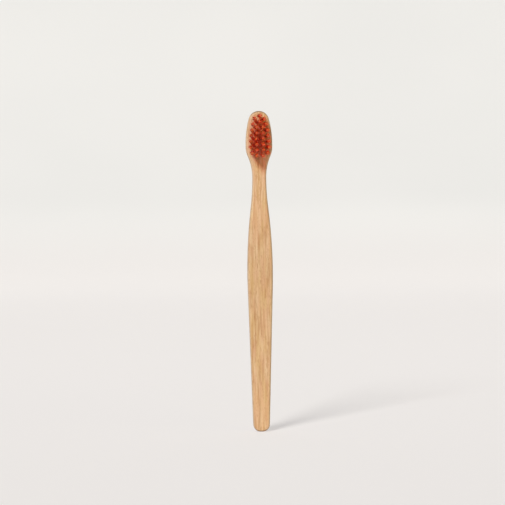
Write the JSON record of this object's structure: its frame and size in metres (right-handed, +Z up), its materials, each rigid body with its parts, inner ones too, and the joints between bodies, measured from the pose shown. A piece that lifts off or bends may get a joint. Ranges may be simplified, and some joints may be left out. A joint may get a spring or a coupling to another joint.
{
  "type": "manual toothbrush",
  "caption": "Flat beech-wood toothbrush with a rounded oval head, slim neck, tapered grip and straight-cut bristle tufts, each folded round a wire anchor in its own hole.",
  "frame": {"origin": "lowest point of the handle's rounded butt, on the centre line, midway through the grip's thickness", "axes": "+Z up along the handle to the tip of the head, X across the width, bristles point along -Y, +Y out of the flat back"},
  "size_m": [0.0144, 0.0169, 0.175],
  "materials": {
    "beech": "fine-sanded beech with a thin oil or wax finish, satin",
    "bristle": "nylon filaments, orange-red, satin, slightly translucent at the tips",
    "anchor_wire": "plain drawn wire"
  },
  "bodies": {
    "root": {"anchor_01_centre": "anchor_wire", "anchor_02_left": "anchor_wire", "anchor_02_right": "anchor_wire", "anchor_03_centre": "anchor_wire", "anchor_04_left": "anchor_wire", "anchor_04_right": "anchor_wire", "anchor_05_left": "anchor_wire", "anchor_05_right": "anchor_wire", "anchor_06_left": "anchor_wire", "anchor_06_right": "anchor_wire", "anchor_07_left": "anchor_wire", "anchor_07_right": "anchor_wire", "anchor_08_left": "anchor_wire", "anchor_08_right": "anchor_wire", "anchor_09_left": "anchor_wire", "anchor_09_right": "anchor_wire", "anchor_10_left": "anchor_wire", "anchor_10_right": "anchor_wire", "anchor_11_left": "anchor_wire", "anchor_11_right": "anchor_wire", "anchor_12_left": "anchor_wire", "anchor_12_right": "anchor_wire", "anchor_13_left": "anchor_wire", "anchor_13_right": "anchor_wire", "anchor_14_left": "anchor_wire", "anchor_14_right": "anchor_wire", "anchor_15_left": "anchor_wire", "anchor_15_right": "anchor_wire", "handle": "beech", "tuft_01_centre": "bristle", "tuft_02_left": "bristle", "tuft_02_right": "bristle", "tuft_03_centre": "bristle", "tuft_04_left": "bristle", "tuft_04_right": "bristle", "tuft_05_left": "bristle", "tuft_05_right": "bristle", "tuft_06_left": "bristle", "tuft_06_right": "bristle", "tuft_07_left": "bristle", "tuft_07_right": "bristle", "tuft_08_left": "bristle", "tuft_08_right": "bristle", "tuft_09_left": "bristle", "tuft_09_right": "bristle", "tuft_10_left": "bristle", "tuft_10_right": "bristle", "tuft_11_left": "bristle", "tuft_11_right": "bristle", "tuft_12_left": "bristle", "tuft_12_right": "bristle", "tuft_13_left": "bristle", "tuft_13_right": "bristle", "tuft_14_left": "bristle", "tuft_14_right": "bristle", "tuft_15_left": "bristle", "tuft_15_right": "bristle"}
  },
  "joints": []
}
